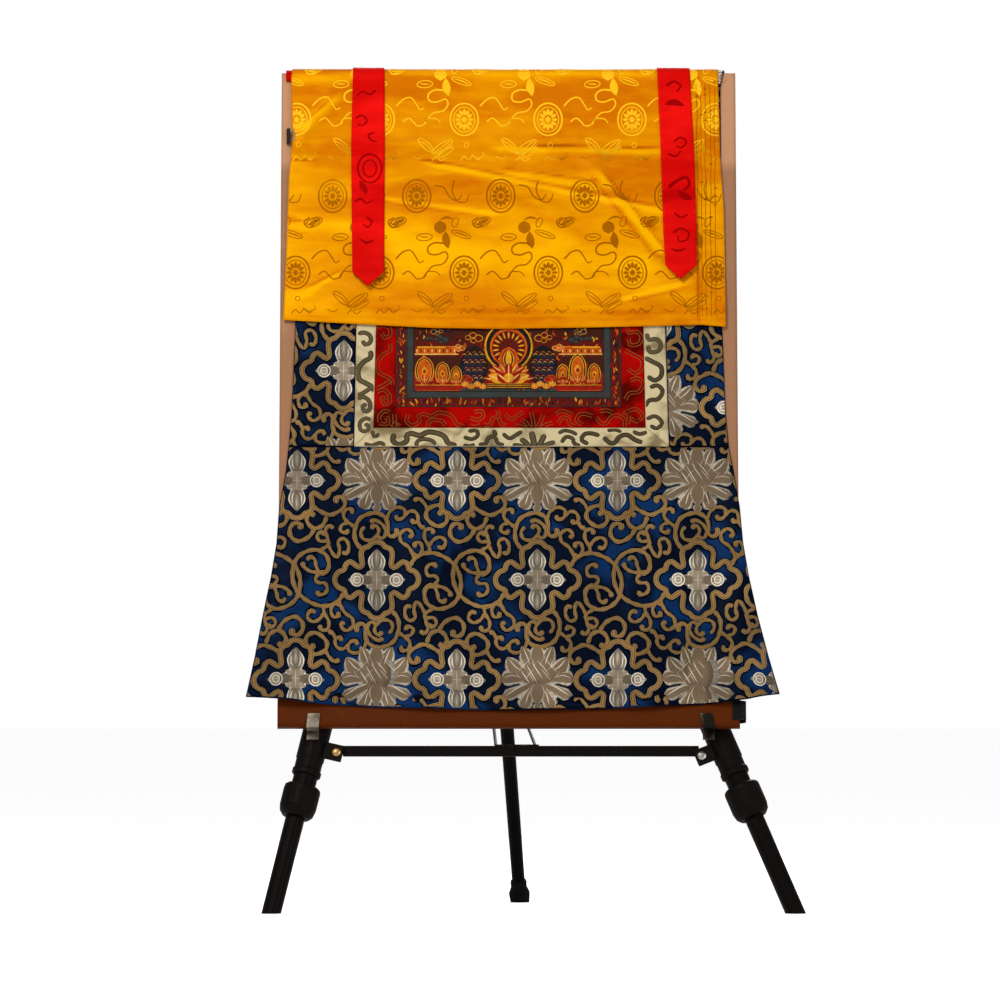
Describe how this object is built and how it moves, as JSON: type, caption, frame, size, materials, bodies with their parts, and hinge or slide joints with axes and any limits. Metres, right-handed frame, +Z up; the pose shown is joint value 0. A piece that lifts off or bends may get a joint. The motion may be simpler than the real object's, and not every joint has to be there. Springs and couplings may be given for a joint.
{
  "type": "thangka scroll painting draped over a board on a tripod easel",
  "caption": "Silk-mounted scroll painting with a veil, ribbons and a flared brocade skirt, draped over a leaning board on a tripod easel.",
  "frame": {"origin": "middle of the whole object's box, on the floor", "axes": "+Z up, the painted face looks along -Y, +X to the viewer's right"},
  "size_m": [0.7374, 0.6121, 1.1293],
  "materials": {
    "brocade": "royal blue silk with woven gold and silver pattern",
    "cream_silk": "cream silk with woven grey-brown scrolls",
    "red_silk": "scarlet silk with fine woven gold scrolls",
    "painted_panel": "painted cotton, varnished and glossy",
    "gold_damask": "gold satin damask",
    "red_damask": "scarlet satin damask",
    "board": "brown, satin",
    "clip_steel": "black sprung steel",
    "bright_steel": "nickel-plated steel",
    "hook_steel": "black steel worn bright at its edges",
    "easel_tube": "black powder coat",
    "easel_plastic": "black moulded plastic",
    "rubber": "black rubber",
    "brass": "brass bolt head"
  },
  "bodies": {
    "root": {"brocade_bottom": "brocade", "brocade_left": "brocade", "brocade_right": "brocade", "brocade_top": "brocade", "cream_bottom": "cream_silk", "cream_left": "cream_silk", "cream_right": "cream_silk", "cream_top": "cream_silk", "red_bottom": "red_silk", "red_left": "red_silk", "red_right": "red_silk", "red_top": "red_silk", "painting": "painted_panel", "veil": "gold_damask", "ribbon_left": "red_damask", "ribbon_right": "red_damask", "under_cloth": "red_damask", "rail_bottom": "board", "rail_left": "board", "rail_right": "board", "rail_top": "board", "back_panel": "board", "clip_left": "clip_steel", "clip_right": "clip_steel", "wire_left": "bright_steel", "hub": "easel_plastic", "upper_tube_left": "easel_tube", "upper_tube_right": "easel_tube", "lower_tube_left": "easel_tube", "lower_tube_right": "easel_tube", "rear_leg": "easel_tube", "rear_foot": "rubber", "rear_collar": "easel_plastic", "knob_left": "easel_plastic", "knob_right": "easel_plastic", "ring_left": "easel_plastic", "ring_right": "easel_plastic", "sleeve_left": "easel_plastic", "sleeve_right": "easel_plastic", "ear_left": "easel_plastic", "ear_right": "easel_plastic", "bolt_left": "brass", "bolt_right": "bright_steel", "hook_left": "hook_steel", "hook_right": "hook_steel", "crossbar_left": "easel_tube", "crossbar_right": "easel_tube", "centre_plate": "easel_tube", "strut_left": "easel_tube", "strut_right": "easel_tube"}
  },
  "joints": []
}
